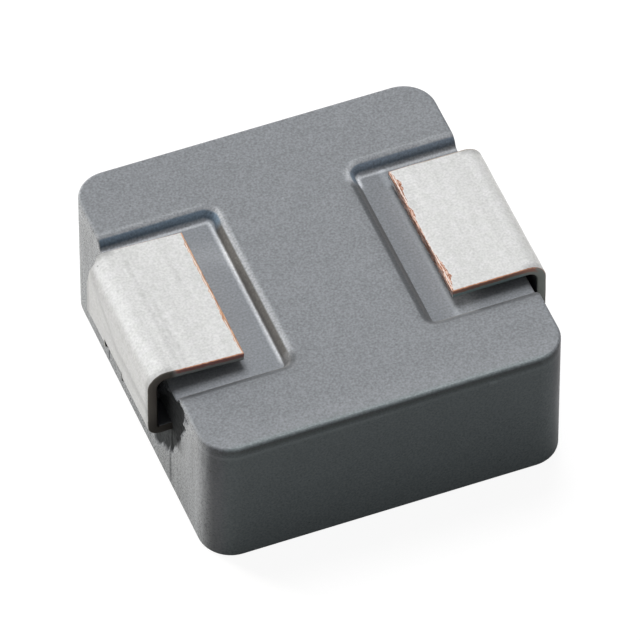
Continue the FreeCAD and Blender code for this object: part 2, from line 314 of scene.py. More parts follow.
# %% Push one pocket down
def push_pocket(bm, side):
    def in_mouth(face):
        middle = face.calc_center_median()
        inside = side * middle.x > LIP_X[side] and abs(middle.y) < LIP_Y
        return inside and face.normal.z > 0.9 and near(middle.z, TOP)

    def in_gate(face):
        middle = face.calc_center_median()
        return side * face.normal.x > 0.9 and abs(middle.y) < LIP_Y and middle.z > FLOOR

    bmesh.ops.delete(bm, geom=[face for face in bm.faces if in_gate(face)], context="FACES")
    mouth = [face for face in bm.faces if in_mouth(face)]
    pushed = bmesh.ops.extrude_face_region(bm, geom=mouth)["geom"]
    foot = [item for item in pushed if isinstance(item, bmesh.types.BMVert)]
    outer_sill = [vert for vert in bm.verts if near(vert.co.x, side * HALF_LENGTH)
                  and near(abs(vert.co.y), LIP_Y) and near(vert.co.z, FLOOR)]
    for vert in foot:
        vert.co.z = FLOOR
        if near(vert.co.x, side * LIP_X[side]):
            vert.co.x = side * FOOT_X[side]
    for vert in foot + outer_sill:
        vert.co.y = math.copysign(FOOT_Y, vert.co.y)
    open_end = [face for face in bm.faces if all(
        near(vert.co.x, side * HALF_LENGTH) and vert.co.z > FLOOR - 1e-3
        and abs(vert.co.y) < LIP_Y + 1e-3 for vert in face.verts)]
    bmesh.ops.delete(bm, geom=open_end + mouth, context="FACES")
    bmesh.ops.remove_doubles(bm, verts=bm.verts, dist=1e-4)


block = brick()
for side in (-1, 1):
    push_pocket(block, side)
bmesh.ops.dissolve_limit(block, angle_limit=0.01, verts=block.verts, edges=block.edges)
bmesh.ops.recalc_face_normals(block, faces=block.faces)
print(f"sliced and pushed: {len(block.faces)} faces,",
      f"{sum(not edge.is_manifold for edge in block.edges)} open edges")


# %% [markdown]
# ## Rounding, from the large radii to the small
#
# A bevel needs the distance from the old edge to where the rounding starts. For
# a radius r and a surface that turns by an angle t there, that is r tan(t / 2).
# The upright corners come first, then the corners of the pockets, so that the
# lip's chain of edges already runs round them.


# %% One bevel for all edges that a test picks
def round_off(bm, radius, segments, wanted):
    bm.normal_update()
    picked = [edge for edge in bm.edges if len(edge.link_faces) == 2 and wanted(edge)]
    turn = max(edge.calc_face_angle() for edge in picked)
    bmesh.ops.bevel(
        bm, geom=picked, offset=radius * math.tan(turn / 2), offset_type="OFFSET",
        segments=segments, profile=0.5, affect="EDGES", material=-1, clamp_overlap=False,
    )
    bm.normal_update()


def ends(edge):
    return edge.verts[0].co, edge.verts[1].co


def both(edge, test):
    return all(test(place) for place in ends(edge))


def is_upright_corner(edge):
    a, b = ends(edge)
    upright = near(a.x, b.x) and near(a.y, b.y)
    return upright and near(abs(a.x), HALF_LENGTH) and near(abs(a.y), HALF_WIDTH)


def is_pocket_corner(edge):
    a, b = sorted(ends(edge), key=lambda p: p.z)
    side = math.copysign(1, a.x)
    low = near(a.z, FLOOR) and near(abs(a.x), FOOT_X[side]) and near(abs(a.y), FOOT_Y)
    return low and near(b.z, TOP) and near(abs(b.x), LIP_X[side])


def leans(face):
    return 0.1 < face.normal.z < 0.8


def lies_flat(face):
    return face.normal.z > 0.99


def between(edge, first, second):
    a, b = edge.link_faces
    return (first(a) and second(b)) or (first(b) and second(a))


def is_lip(edge):
    return both(edge, lambda p: near(p.z, TOP)) and between(edge, leans, lies_flat)


def is_root(edge):
    return both(edge, lambda p: near(p.z, FLOOR)) and between(edge, leans, lies_flat)


def is_rim(edge):
    return between(edge, lambda face: abs(face.normal.z) < 0.01, lambda face: face.normal.z > 0.05)


def is_rest_edge(edge):
    return both(edge, lambda p: near(p.z, 0)) and between(
        edge, lambda face: abs(face.normal.z) < 0.01, lambda face: face.normal.z < -0.99)


# %% Round the block
round_off(block, BODY_CORNER, 14, is_upright_corner)
round_off(block, POCKET_CORNER, 8, is_pocket_corner)
round_off(block, POCKET_LIP, 6, is_lip)
round_off(block, POCKET_ROOT, 4, is_root)
round_off(block, RIM_ROUND, 3, is_rim)
round_off(block, REST_ROUND, 4, is_rest_edge)
print(f"rounded: {len(block.faces)} faces,",
      f"{sum(not edge.is_manifold for edge in block.edges)} open edges")

# %% [markdown]
# ## Marks on the side faces
#
# The die leaves a fine groove on the side face under each edge of a strip, and
# beside the left strip a patch of the powder has broken away and is rough and
# dark. Both are shallower than a hair, so they are made by slicing that face
# into small cells and pushing the points in. The patch's outline has only the
# points that its ragged shape needs. What a mark presses in is also stored on the
# points, for the finish to read.

# %% Sizes of the marks
GROOVE_HALF = 0.035
GROOVE_DEPTH = 0.03
GROOVE_TOP = 1.49
GROOVE_MIDDLE = 1.0
GROOVE_FOOT = 0.10
GROOVE_FADE = 0.05
CHIP_DEPTH = 0.05
CHIP_CELL = 0.03
CHIP_OUTLINE = [
    (-1.52, 2.60), (-2.02, 2.58), (-2.19, 2.44), (-2.04, 2.30), (-2.08, 2.12), (-1.90, 1.78),
    (-1.70, 1.34), (-1.46, 0.90), (-1.12, 0.68), (-0.82, 0.44), (-0.60, 0.52), (-0.52, 1.20),
]
CHIP_REACH = 0.18
CHIP_RAGGED = 0.09


# %% Slice a part of one side face into a grid
def steps(low, high, size):
    count = math.ceil((high - low) / size)
    return [low + (high - low) * n / count for n in range(count + 1)]


def slice_patch(bm, side, ys, zs):
    """Cuts the side face at every y and z, only between the first and last of them."""
    def on_side(face):
        return side * face.normal.x > 0.99 and near(face.calc_center_median().x, side * HALF_LENGTH)

    def in_patch(face):
        middle = face.calc_center_median()
        return on_side(face) and ys[0] < middle.y < ys[-1] and zs[0] < middle.z < zs[-1]

    for axis, places in ((1, (ys[0], ys[-1])), (2, (zs[0], zs[-1]))):
        for place in places:
            slice_at(bm, axis, place, [face for face in bm.faces if on_side(face)])
    for axis, places in ((1, ys[1:-1]), (2, zs[1:-1])):
        for place in places:
            slice_at(bm, axis, place, [face for face in bm.faces if in_patch(face)])
    return {vert for face in bm.faces if in_patch(face) for vert in face.verts}


# %% How far a point lies inside an outline
def inside_by(y, z, outline):
    """Distance to the outline, positive inside it."""
    point = Vector((y, z))
    inside = False
    nearest = math.inf
    for (y0, z0), (y1, z1) in zip(outline, outline[1:] + outline[:1]):
        start, end = Vector((y0, z0)), Vector((y1, z1))
        along = (point - start).dot(end - start) / (end - start).length_squared
        nearest = min(nearest, (point - start.lerp(end, min(max(along, 0), 1))).length)
        if (z0 > z) != (z1 > z) and y < y0 + (z - z0) / (z1 - z0) * (y1 - y0):
            inside = not inside
    return nearest if inside else -nearest


def smooth(share):
    share = min(max(share, 0), 1)
    return share * share * (3 - 2 * share)


def groove(y, z, edge):
    """How deep the groove under a strip's edge is here, from 0 to 1."""
    across = smooth(1 - abs(y - edge) / GROOVE_HALF)
    below_strip = smooth((GROOVE_TOP + GROOVE_FADE - z) / (2 * GROOVE_FADE))
    return across * below_strip * smooth((z - GROOVE_FOOT) / GROOVE_FADE)


# %% Press the left face's marks into the block
block.normal_update()
broken = block.verts.layers.float.new("broken")
grooved = block.verts.layers.float.new("grooved")
chip_ys = [y for y, _ in CHIP_OUTLINE]
chip_patch = slice_patch(
    block, -1,
    steps(min(chip_ys) - CHIP_REACH, max(chip_ys) + CHIP_REACH, CHIP_CELL),
    steps(GROOVE_FOOT, TOP - RIM_ROUND - 0.02, CHIP_CELL),
)
for vert in chip_patch:
    y, z = vert.co.y, vert.co.z
    ragged = CHIP_RAGGED * noise.fractal(Vector((0, y, z)) * 7, 0.6, 2.0, 3)
    vert[broken] = smooth((inside_by(y, z, CHIP_OUTLINE) + ragged) / 0.05 + 0.5)
    rough = 0.5 + 0.5 * noise.fractal(Vector((3, y, z)) * 12, 0.8, 2.0, 3)
    vert[grooved] = groove(y, z, -STRIP_HALF)
    vert.co.x += vert[broken] * CHIP_DEPTH * (0.5 + 0.6 * rough) + vert[grooved] * GROOVE_DEPTH
print(f"left face: {sum(vert[broken] > 0.5 for vert in chip_patch)} points in the broken patch")

# %% Press the other three grooves
groove_levels = [GROOVE_FOOT, GROOVE_FOOT + GROOVE_FADE, GROOVE_MIDDLE,
                 GROOVE_TOP - GROOVE_FADE, GROOVE_TOP + GROOVE_FADE]
for side, edge in ((-1, 1), (1, -1), (1, 1)):
    middle = edge * STRIP_HALF
    lines = [middle + GROOVE_HALF * share for share in (-1, -0.5, 0, 0.5, 1)]
    strip = slice_patch(block, side, lines, groove_levels)
    for vert in strip:
        vert[grooved] = groove(vert.co.y, vert.co.z, middle)
        vert.co.x -= side * vert[grooved] * GROOVE_DEPTH
print(f"marked: {len(block.faces)} faces,",
      f"{sum(not edge.is_manifold for edge in block.edges)} open edges")

# %% [markdown]
# ## The finish of pressed powder
#
# Pressed iron powder in resin is a satin grey with a grain finer than the eye
# sees, a few bright and dark specks, and upright drag marks and pits on the end
# faces, where the block slid out of its die. The lips and feet of the pockets'
# far walls and of the left pocket's inner wall are lighter, partly burnish from
# the punch and partly painted highlight. The walls between lip and foot carry
# painted shade: the far ones are a little blue and the left one is dark, while the
# other walls are painted a lighter grey, painted light where the lamps don't
# reach. The pocket floors are painted lighter, as painted light. These places
# follow from the pocket's own sizes, as a distance from its lip. Elsewhere the
# grooves, the far rim and a band just below the top edge get painted shade, and a
# band along the top's near edge gets painted light.

# %% Colours of the powder
POWDER_GREY = (0.189, 0.200, 0.215, 1)
NEAR_FACE_GREY = (0.184, 0.210, 0.220, 1)
# Burnish with painted highlight, for the pockets' lips and feet.
BURNISH_HIGHLIGHT_GREY = (0.56, 0.58, 0.61, 1)
BROKEN_GREY = (0.018, 0.020, 0.021, 1)
# Painted shade and painted light for the pocket walls.
WALL_PAINTED_LIGHT = (0.270, 0.276, 0.284, 1)
LEFT_INNER_WALL_SHADE = (0.083, 0.080, 0.077, 1)
RIGHT_FAR_WALL_SHADE = (0.145, 0.182, 0.228, 1)
LEFT_FAR_WALL_SHADE = (0.115, 0.158, 0.205, 1)


# %% Distance from the pocket's lip, as a formula on the place
def pocket_distance(finish):
    """Millimetres inside a pocket's lip line, seen from above, up to its corner radius."""
    corner = POCKET_CORNER + WALL_RUN
    half_gap = (LIP_X[-1] + LIP_X[1]) / 2
    off_middle = (LIP_X[1] - LIP_X[-1]) / 2
    past_end = (corner + half_gap - abs(finish.x - off_middle)).at_least(0.0)
    past_side = (corner - LIP_Y + abs(finish.y)).at_least(0.0)
    return corner - (past_end * past_end + past_side * past_side).root()


def peak(value, middle, half_width):
    """1 at the middle, falling smoothly to 0 at the half width to either side."""
    return abs(value - middle).rise(half_width, 0.0)


# %% Burnish, painted highlights and painted shade round the pockets
def pocket_looks(finish, upward, on_ends, grains):
    """The powder's grey with painted shade and light on the pockets' walls, the factor of the painted
    rim shade, the burnish with painted highlights, and the lip.
    """
    inside = pocket_distance(finish)
    pocketed = finish.z.rise(FLOOR - 0.08, FLOOR - 0.02) * (1.0 - on_ends)
    above_floor = finish.z > FLOOR + 0.01
    on_left = finish.x.rise(0.3, -0.3)
    far = finish.y.rise(FOOT_Y - 0.35, FOOT_Y - 0.15)
    left_inner = (finish.x < 0) * finish.y.rise(0.10 - LIP_Y, 0.35 - LIP_Y)
    facing = far.at_least(left_inner) * pocketed

    # Painted highlights, partly burnish: on the lips and feet of the far walls and the left inner
    # wall, stronger at the right pocket's far corner and towards its right end.
    shifted = inside + 0.012 * far
    lip = shifted.rise(-0.16, -0.065) * shifted.rise(-0.005, -0.045) * facing
    foot = (inside + 0.02 * far).rise(WALL_RUN - 0.02, WALL_RUN + 0.01)
    foot = foot * inside.rise(WALL_RUN + 0.09, WALL_RUN + 0.01) * facing * (finish.z < FLOOR + 0.10)
    right_corner = (finish.x - LIP_X[1]).rise(0.20, 0.08) * (finish.x > 0) * far
    lip_highlight_gain = 1.0 + 0.25 * far + 1.6 * right_corner + 0.5 * finish.x.rise(2.2, 2.8)
    lip_highlight = lip * (0.13 + 0.24 * grains) * lip_highlight_gain
    burnish_and_highlight = lip_highlight.at_least(foot * (0.68 + 0.6 * right_corner))

    # Painted shade on the pocket walls: darker and a little blue on the far walls, dark on the left
    # inner wall, and a lighter grey, painted light, on the other walls.
    wall = shifted.rise(-0.042, -0.012) * above_floor * pocketed
    wall_shade_colour = finish.mix(left_inner, WALL_PAINTED_LIGHT, LEFT_INNER_WALL_SHADE)
    far_wall_shade_colour = finish.mix(on_left, RIGHT_FAR_WALL_SHADE, LEFT_FAR_WALL_SHADE)
    wall_shade_colour = finish.mix(far, wall_shade_colour, far_wall_shade_colour)
    near_face = finish.y.rise(-3.10, -3.20)
    grey = finish.mix(near_face, POWDER_GREY, NEAR_FACE_GREY)
    grey = finish.mix(wall, grey, wall_shade_colour)
    grey = finish.mix(burnish_and_highlight, grey, BURNISH_HIGHLIGHT_GREY)

    turning = upward.rise(0.9995, 0.985)
    rim_shade = 0.42 * inside.rise(-0.16, -0.07) * turning + 0.16 * inside.rise(-0.30, -0.05)
    unshaded = 1.0 - rim_shade * (1.0 - facing) * pocketed * above_floor
    return grey, unshaded, burnish_and_highlight, lip


def floor_painted_light(finish):
    """Painted light on the pocket floors: how much lighter they are, most of all in a band by the
    right pad's edge.
    """
    on_floor = finish.z.rise(FLOOR - 0.08, FLOOR - 0.02) * (finish.z < FLOOR + 0.01)
    on_left = finish.x.rise(0.3, -0.3)
    # Painted light beside the right pad's free edge.
    pad_edge_light = peak(abs(finish.x), 1.79, 0.10) * (1.0 - on_left)
    return on_floor * (0.15 + 0.15 * on_left + 0.45 * pad_edge_light)


# %% Pressed powder
def pressed_powder():
    finish = Finish("pressed_powder", Specular_IOR_Level=0.35)
    outward, _, upward = finish.split(finish.node("ShaderNodeNewGeometry", out="Normal"))
    on_ends = abs(outward).rise(0.5, 0.9) * (abs(finish.x) > 2.5)
    broken = finish.stored("broken")
    grooved = finish.stored("grooved")

    fine = finish.grain(0.038, detail=2.5)
    soft = finish.grain(0.45, detail=3.0)
    grains = finish.grain(0.05, detail=2.0)
    drag = finish.grain(0.12, detail=3.0, place=finish.stretched(1.0, 1.0, 0.10))
    pits = finish.grain(0.10, detail=3.0).rise(0.36, 0.26)
    bright = finish.specks(0.36, 0.026, 0.06)
    dark = finish.specks(0.24, 0.024, 0.10)

    grey, unshaded, burnish_and_highlight, lip = pocket_looks(finish, upward, on_ends, grains)
    # Painted light: a lighter band on the top along its near edge.
    near_edge_light = finish.y.rise(-2.72, -3.00) * finish.z.rise(TOP - 0.02, TOP - 0.01)
    # Painted shade: a band on the side faces just below the top edge, and the far rim.
    below_rim_shade = finish.z.rise(TOP - 0.20, TOP - 0.09) * upward.rise(0.3, 0.0) * (1.0 - on_ends)
    far_rim_shade = finish.y.rise(HALF_WIDTH - 0.045, HALF_WIDTH - 0.025) * (finish.z > TOP - 0.04)
    tone = 1.0 + (fine - 0.5) * 1.25 + (soft - 0.5) * 0.14
    tone = tone + on_ends * ((drag - 0.5) * 0.9 - pits * 0.5) + bright * 0.5 - dark * 0.35
    tone = (tone + floor_painted_light(finish) + near_edge_light * 0.06) * unshaded
    # The grooves are painted darker, a painted shade in the recess.
    tone = tone * (1.0 - grooved * 0.5) * (1.0 - 0.55 * below_rim_shade) * (1.0 - 0.4 * far_rim_shade)
    worn = finish.mix(broken, grey, BROKEN_GREY)
    finish.feed("Base Color", finish.scaled(worn, tone))
    satin = 0.50 - on_ends * 0.22
    finish.feed("Roughness", satin + (fine - 0.5) * 0.2 - burnish_and_highlight * 0.12 + broken * 0.5)
    finish.relief(fine * 0.6 + drag * on_ends * 0.8 + grains * (lip * 0.4 + broken), 0.006)
    return finish.material


finish_piece(block, "powder_block", "core_body", [pressed_powder()])

# %% [markdown]
# ## A folded strip as one sweep
#
# Each terminal is one flat strip, stamped and then folded over a die. The mesh
# is made in the same order: a closed loop, the strip's section, is carried along
# straight runs by extruding it, and round each fold by spinning it. A value
# that is stored on the first loop is copied along, so every point knows how
# deep it lies below the outer face of the strip.


# %% A loop that runs and turns in the XZ plane
class Sweep:
    def __init__(self, bm, edges, place, heading):
        self.bm = bm
        self.edges = edges
        self.place = Vector(place)
        self.heading = heading

    def ahead(self):
        return Vector((math.cos(self.heading), 0, math.sin(self.heading)))

    def verts(self):
        return list({vert for edge in self.edges for vert in edge.verts})

    def run(self, length, steps=1):
        for _ in range(steps):
            made = bmesh.ops.extrude_edge_only(self.bm, edges=self.edges)["geom"]
            self.edges = [item for item in made if isinstance(item, bmesh.types.BMEdge)
                          and not item.link_faces[1:]]
            step = self.ahead() * (length / steps)
            bmesh.ops.translate(self.bm, vec=step, verts=self.verts())
        self.place += self.ahead() * length

    def turn(self, angle, radius, steps):
        """A positive angle turns from +X towards +Z."""
        aside = Vector((-math.sin(self.heading), 0, math.cos(self.heading)))
        centre = self.place + aside * math.copysign(radius, angle)
        made = bmesh.ops.spin(
            self.bm, geom=self.verts() + self.edges, cent=centre, axis=(0, -1, 0),
            angle=angle, steps=steps, use_merge=False, use_duplicate=False,
        )
        self.edges = [item for item in made["geom_last"] if isinstance(item, bmesh.types.BMEdge)]
        self.place = centre + Matrix.Rotation(angle, 3, (0, -1, 0)) @ (self.place - centre)
        self.heading += angle

    def cap(self, edges=None):
        return bmesh.ops.contextual_create(self.bm, geom=edges or self.edges)["faces"]


# %% [markdown]
# ## The strip's section
#
# The section is a thin rectangle with rounded corners. It gets extra points
# where the locking slot and the narrow inner tab begin, so that those edges run
# the whole length of the strip and can be picked later. Outside the block, the
# sweep goes along the pad, round the shoulder, down the leg and in at the foot.
# Inside it, the strip is narrowed to a weld tab, which is cranked to the level of
# the coil's wire end.

# %% Sizes of the strips
STRIP_EDGE = 0.03
CROSS_CELLS = 96
PAD_PROUD = 0.10
SHOULDER_RADIUS = 0.16
FOOT_RADIUS = 0.03
RISER_RADIUS = 0.08
LEAD_LEVEL = 1.49
LEAD_DEPTH = 0.15
RISER_ROOM = 0.46
TAB_WIDTH = 1.35
SLOT_LENGTH = 0.80
SLOT_SHIFT = 0.20
SLOT_TOP = 1.66
SLOT_CRACK = 0.034
SLOT_SINK = 0.02
LEFT_TILT = math.radians(3.3)
RIGHT_TAB_LEVEL = 2.07
FREE_EDGE_STEPS = (0.02, 0.02, 0.03, 0.05)
HALF_SHEET = STRIP_THICKNESS / 2
PAD_LEVEL = TOP + PAD_PROUD - HALF_SHEET
TAB_EDGE = STRIP_HALF - TAB_WIDTH


# %% Make the section's loop
def strip_section(bm, slot_middle):
    """A rounded loop in the YZ plane round the origin. Layer through: 0 outside, 1 inside."""
    bmesh.ops.create_grid(bm, x_segments=1, y_segments=1, size=0.5)
    shape = Matrix(((0, 0, 1), (2 * STRIP_HALF, 0, 0), (0, STRIP_THICKNESS, 0)))
    bmesh.ops.transform(bm, matrix=shape.to_4x4(), verts=bm.verts)
    bmesh.ops.bevel(bm, geom=bm.verts[:], offset=STRIP_EDGE, offset_type="OFFSET",
                    segments=3, profile=0.5, affect="VERTICES", material=-1)
    cuts = [STRIP_HALF * (2 * n / CROSS_CELLS - 1) for n in range(1, CROSS_CELLS)]
    cuts += [TAB_EDGE, slot_middle - SLOT_LENGTH / 2, slot_middle + SLOT_LENGTH / 2]
    for cut in cuts:
        slice_at(bm, 1, cut)
    bmesh.ops.dissolve_faces(bm, faces=bm.faces[:])
    bmesh.ops.remove_doubles(bm, verts=bm.verts, dist=1e-3)
    through = bm.verts.layers.float.new("through")
    for vert in bm.verts:
        vert[through] = 0.5 - vert.co.z / STRIP_THICKNESS
    bmesh.ops.delete(bm, geom=bm.faces[:], context="FACES_ONLY")
    return bm.edges[:]


# %% Outside the block: pad, shoulder, leg and foot
def sweep_outside(sweep, leg, tilt):
    """leg is where the middle of the leg's sheet stands. The pad's end gets finer steps."""
    shoulder = SHOULDER_RADIUS + HALF_SHEET
    foot = FOOT_RADIUS + HALF_SHEET
    fold = math.pi / 2 + tilt
    pad_run = (leg - sweep.place.x) / math.cos(tilt) - shoulder * math.tan(fold / 2)
    for length in FREE_EDGE_STEPS:
        sweep.run(length)
    sweep.run(pad_run - sum(FREE_EDGE_STEPS), 14)
    sweep.turn(-fold, shoulder, 12)
    sweep.run(sweep.place.z - LEAD_LEVEL - foot, 10)
    sweep.turn(-math.pi / 2, foot, 8)
    sweep.run(sweep.place.x - (HALF_LENGTH - LEAD_DEPTH), 3)


# %% Inside the block: the narrow weld tab and its crank
def narrow_to_tab(sweep):
    """Closes the loop's wide share, so that only the tab's share goes on."""
    split = [vert for vert in sweep.verts() if near(vert.co.y, TAB_EDGE)]
    seam = bmesh.ops.contextual_create(sweep.bm, geom=split)["edges"]
    narrow = [edge for edge in sweep.edges if both(edge, lambda p: p.y > TAB_EDGE - 1e-3)]
    wide = [edge for edge in sweep.edges if edge not in narrow]
    sweep.cap(wide + seam)
    sweep.edges = narrow + seam


def sweep_tab(sweep, tab_level, tab_end):
    """tab_level is the height of the tab's middle, tab_end where it stops."""
    inner = RISER_RADIUS + HALF_SHEET
    riser = HALF_LENGTH - RISER_ROOM - HALF_SHEET
    climb = math.copysign(1, tab_level - LEAD_LEVEL)
    sweep.run(sweep.place.x - riser - inner)
    sweep.turn(-climb * math.pi / 2, inner, 6)
    sweep.run(abs(tab_level - LEAD_LEVEL) - 2 * inner)
    sweep.turn(climb * math.pi / 2, inner, 6)
    sweep.run(sweep.place.x - tab_end)
    sweep.cap()


# %% Sweep one terminal
def folded_strip(side, leg_out, tilt, tab_level, tab_end, slot_middle):
    """leg_out is the leg's outer face. The left strip is made on the right and turned over."""
    bm = bmesh.new()
    loop = strip_section(bm, slot_middle)
    start = Vector((PAD_END[side], 0, PAD_LEVEL))
    place = Matrix.Translation(start) @ Matrix.Rotation(-tilt, 4, "Y")
    bmesh.ops.transform(bm, matrix=place, verts=bm.verts)
    sweep = Sweep(bm, loop, start, tilt)
    sweep.cap()
    sweep_outside(sweep, leg_out - HALF_SHEET, tilt)
    narrow_to_tab(sweep)
    sweep_tab(sweep, tab_level, tab_end)
    if side < 0:
        bmesh.ops.scale(bm, vec=(-1, 1, 1), verts=bm.verts)
    return bm


# %% [markdown]
# ## The locking slot
#
# A slot in the lower fold locks the strip in the powder, which fills it. Its
# faces are inset twice. The first ring stays level, as the rim of the metal. The
# second one slopes down to the filling, and the finish paints that slope dark,
# painted shade for the crack round the filling.

# %% Sink the slot's filling into the fold
def sink_slot(bm, slot_middle):
    filled = bm.verts.layers.float.new("filled")
    through = bm.verts.layers.float["through"]

    def in_slot(face):
        middle = face.calc_center_median()
        on_outside = all(vert[through] < 0.05 for vert in face.verts)
        within = abs(middle.y - slot_middle) < SLOT_LENGTH / 2
        return on_outside and within and middle.z < SLOT_TOP and abs(middle.x) > HALF_LENGTH

    bm.normal_update()
    slot = [face for face in bm.faces if in_slot(face)]
    for depth in (0, -SLOT_SINK):
        bmesh.ops.inset_region(bm, faces=slot, thickness=SLOT_CRACK, depth=depth, use_even_offset=True)
    for vert in {vert for face in slot for vert in face.verts}:
        vert[filled] = 1
    print(f"slot: {len(slot)} faces sunk")


# %% [markdown]
# ## Ragged and uneven edges
#
# Shears leave a burr: along a pad's free edge the copper is torn into lumps. A
# few named lumps, placed along the edge, give the burr its reach, and noise
# makes each of them ragged. Bending draws the left strip's far edge in. A rolled
# strip is never quite flat either, so the points are moved in by a few
# thousandths of a millimetre, and none passes the outer faces of the legs.

# %% Sizes of the burr, the drawn-in edge and the unevenness
BURR_REACH = 0.030
BURR_LIFT = {-1: 0.006, 1: 0.020}
LUMPS = {
    -1: [(0.6, 0.9, 0.012), (-0.5, 1.0, 0.014)],
    1: [(1.05, 0.44, 0.050), (0.42, 0.14, 0.030), (-0.98, 0.42, 0.060)],
}
FOLD_START = 3.33
FOLD_FOOT = 2.15
FOLD_SQUEEZE = 0.11
WAVE = 0.004
RIPPLE = 0.0015
MOST_SWELL = 0.0045


# %% Draw the fold's far edge in
def squeeze_fold(bm):
    for vert in bm.verts:
        far = smooth((vert.co.y - STRIP_HALF + 0.5) / 0.5)
        past_pad = smooth((abs(vert.co.x) - FOLD_START) / 0.10)
        above_foot = smooth((vert.co.z - FOLD_FOOT) / 0.4)
        vert.co.y -= far * past_pad * above_foot * FOLD_SQUEEZE


# %% Tear the free edge and make the sheet uneven
def burr_reach(y, side):
    """How far the torn copper reaches in from the free edge, in millimetres."""
    reach = BURR_REACH
    for middle, half_length, height in LUMPS[side]:
        reach += height * smooth(1 - abs(y - middle) / half_length)
    return reach * (1 + 0.5 * noise.fractal(Vector((0, y, 0.4)) * 9, 0.7, 2.0, 3))


def roughen(bm, side, leg_out):
    torn = bm.verts.layers.float.new("torn")
    bm.normal_update()
    for vert in bm.verts:
        past = abs(vert.co.x) - PAD_END[side]
        on_pad = vert.co.z > PAD_LEVEL - STRIP_THICKNESS and abs(vert.co.y) < STRIP_HALF - 0.02
        reach = max(burr_reach(vert.co.y, side), 0.004)
        vert[torn] = smooth(1.5 - past / reach) if on_pad else 0
        lump = noise.fractal(vert.co * 22, 0.8, 2.0, 3)
        swell = WAVE * noise.noise(vert.co * 2.3) + RIPPLE * noise.noise(vert.co * 9) - MOST_SWELL
        vert.co += vert.normal * swell
        vert.co += vert.normal * (vert[torn] * BURR_LIFT[side] * (lump - 0.4))
        vert.co.x = min(max(vert.co.x, -leg_out), leg_out)


# %% [markdown]
# ## The finish of tinned copper
#
# Matt tin is a pale metal with a faint mottle, drawn lines and fold lines that
# run across the strip, and darker edges on the legs. The legs are painted a
# little darker low down, and the strip's inner face below the shoulder is painted
# dark, both painted shade. The strip was plated before it was cut, so the cut
# edges show copper: a thin brown line where the shears dragged it, and a dull
# smear of tin below. The stored depth through the strip places that line. Copper
# also shows where the pad's free edge is torn, with a bright thin line along it,
# a painted highlight. In the slot lies grey powder in a crack that is painted
# dark, as painted shade.

# %% Colours of the strips
COOL_TIN = (0.705, 0.72, 0.69, 1)
WARM_TIN = (0.745, 0.735, 0.75, 1)
INNER_TIN_SHADE = (0.20, 0.21, 0.23, 1)
TORN_TIN = (0.84, 0.83, 0.82, 1)
COPPER_GLINT = (0.97, 0.90, 0.84, 1)
DRAGGED_COPPER = (0.55, 0.27, 0.16, 1)
FAR_EDGE_COPPER = (0.35, 0.27, 0.20, 1)
SLOT_POWDER = (0.22, 0.22, 0.21, 1)
SLOT_CRACK_SHADE = (0.02, 0.02, 0.018, 1)
STRIP_COLOURS = {
    -1: {"copper": (0.27, 0.135, 0.125, 1), "smear": (0.25, 0.265, 0.255, 1),
         "fold_smear": (0.088, 0.080, 0.072, 1), "outline": (0.10, 0.09, 0.08, 1),
         "dark_copper": (0.52, 0.27, 0.16, 1), "pale_copper": (0.80, 0.50, 0.33, 1)},
    1: {"copper": (0.27, 0.150, 0.120, 1), "smear": (0.23, 0.30, 0.30, 1),
        "fold_smear": (0.200, 0.212, 0.200, 1), "outline": (0.30, 0.17, 0.12, 1),
        "dark_copper": (0.34, 0.15, 0.09, 1), "pale_copper": (0.90, 0.64, 0.53, 1)},
}
COPPER_REACH = {-1: 3.04, 1: 3.27}
DIE_MARKS = {-1: 1.0, 1: 0.2}


# %% How light the plated faces are
def tin_tone(finish, mottle, fine, off_pad, die_marks):
    drawn = finish.grain(0.16, detail=2.0, place=finish.stretched(1.0, 0.10, 1.0))
    dark = finish.specks(0.34, 0.020, 0.10)
    tone = 1.0 + (mottle - 0.5) * 0.22 + (fine - 0.5) * 0.55 + (drawn - 0.5) * 0.22 - dark * 0.35
    rolled = abs(finish.y).rise(STRIP_HALF - 0.17, STRIP_HALF - 0.05) * off_pad
    # Painted shade: the legs are a little darker low down.
    low_leg_shade = off_pad * finish.z.rise(2.3, 1.9) * 0.05
    leg_line = peak(finish.z - finish.y.at_least(0.0) * 0.55, 2.0, 0.18) * off_pad * 0.13
    pad_lines = peak(abs(finish.x), 2.95, 0.08) * 0.09 + peak(abs(finish.x), 2.83, 0.06) * 0.05
    return tone * (1.0 - rolled * 0.26 - low_leg_shade) * (1.0 - leg_line.at_least(pad_lines) * die_marks)


# %% A cut edge: copper by the outer face, smeared tin below it
def cut_edge(finish, through, ragged, off_pad, reach, colours):
    """through is 0 at the strip's outer face and 1 at its inner one."""
    on_pad = (abs(finish.x) + ragged * 0.1).rise(reach + 0.05, reach - 0.05)
    line = (through + ragged * 0.25).rise(0.62, 0.40) * on_pad
    dragged = (through + ragged * 0.3).rise(0.14, 0.05) * on_pad
    outlined = (through + ragged * 0.1).rise(0.09, 0.04) * off_pad
    edge = finish.mix(off_pad, colours["smear"], colours["fold_smear"])
    edge = finish.mix(line, edge, colours["copper"])
    edge = finish.mix(dragged, edge, DRAGGED_COPPER)
    edge = finish.mix(outlined, edge, colours["outline"])
    return finish.scaled(edge, 0.45 + 0.55 * finish.z.rise(1.5, 2.1))


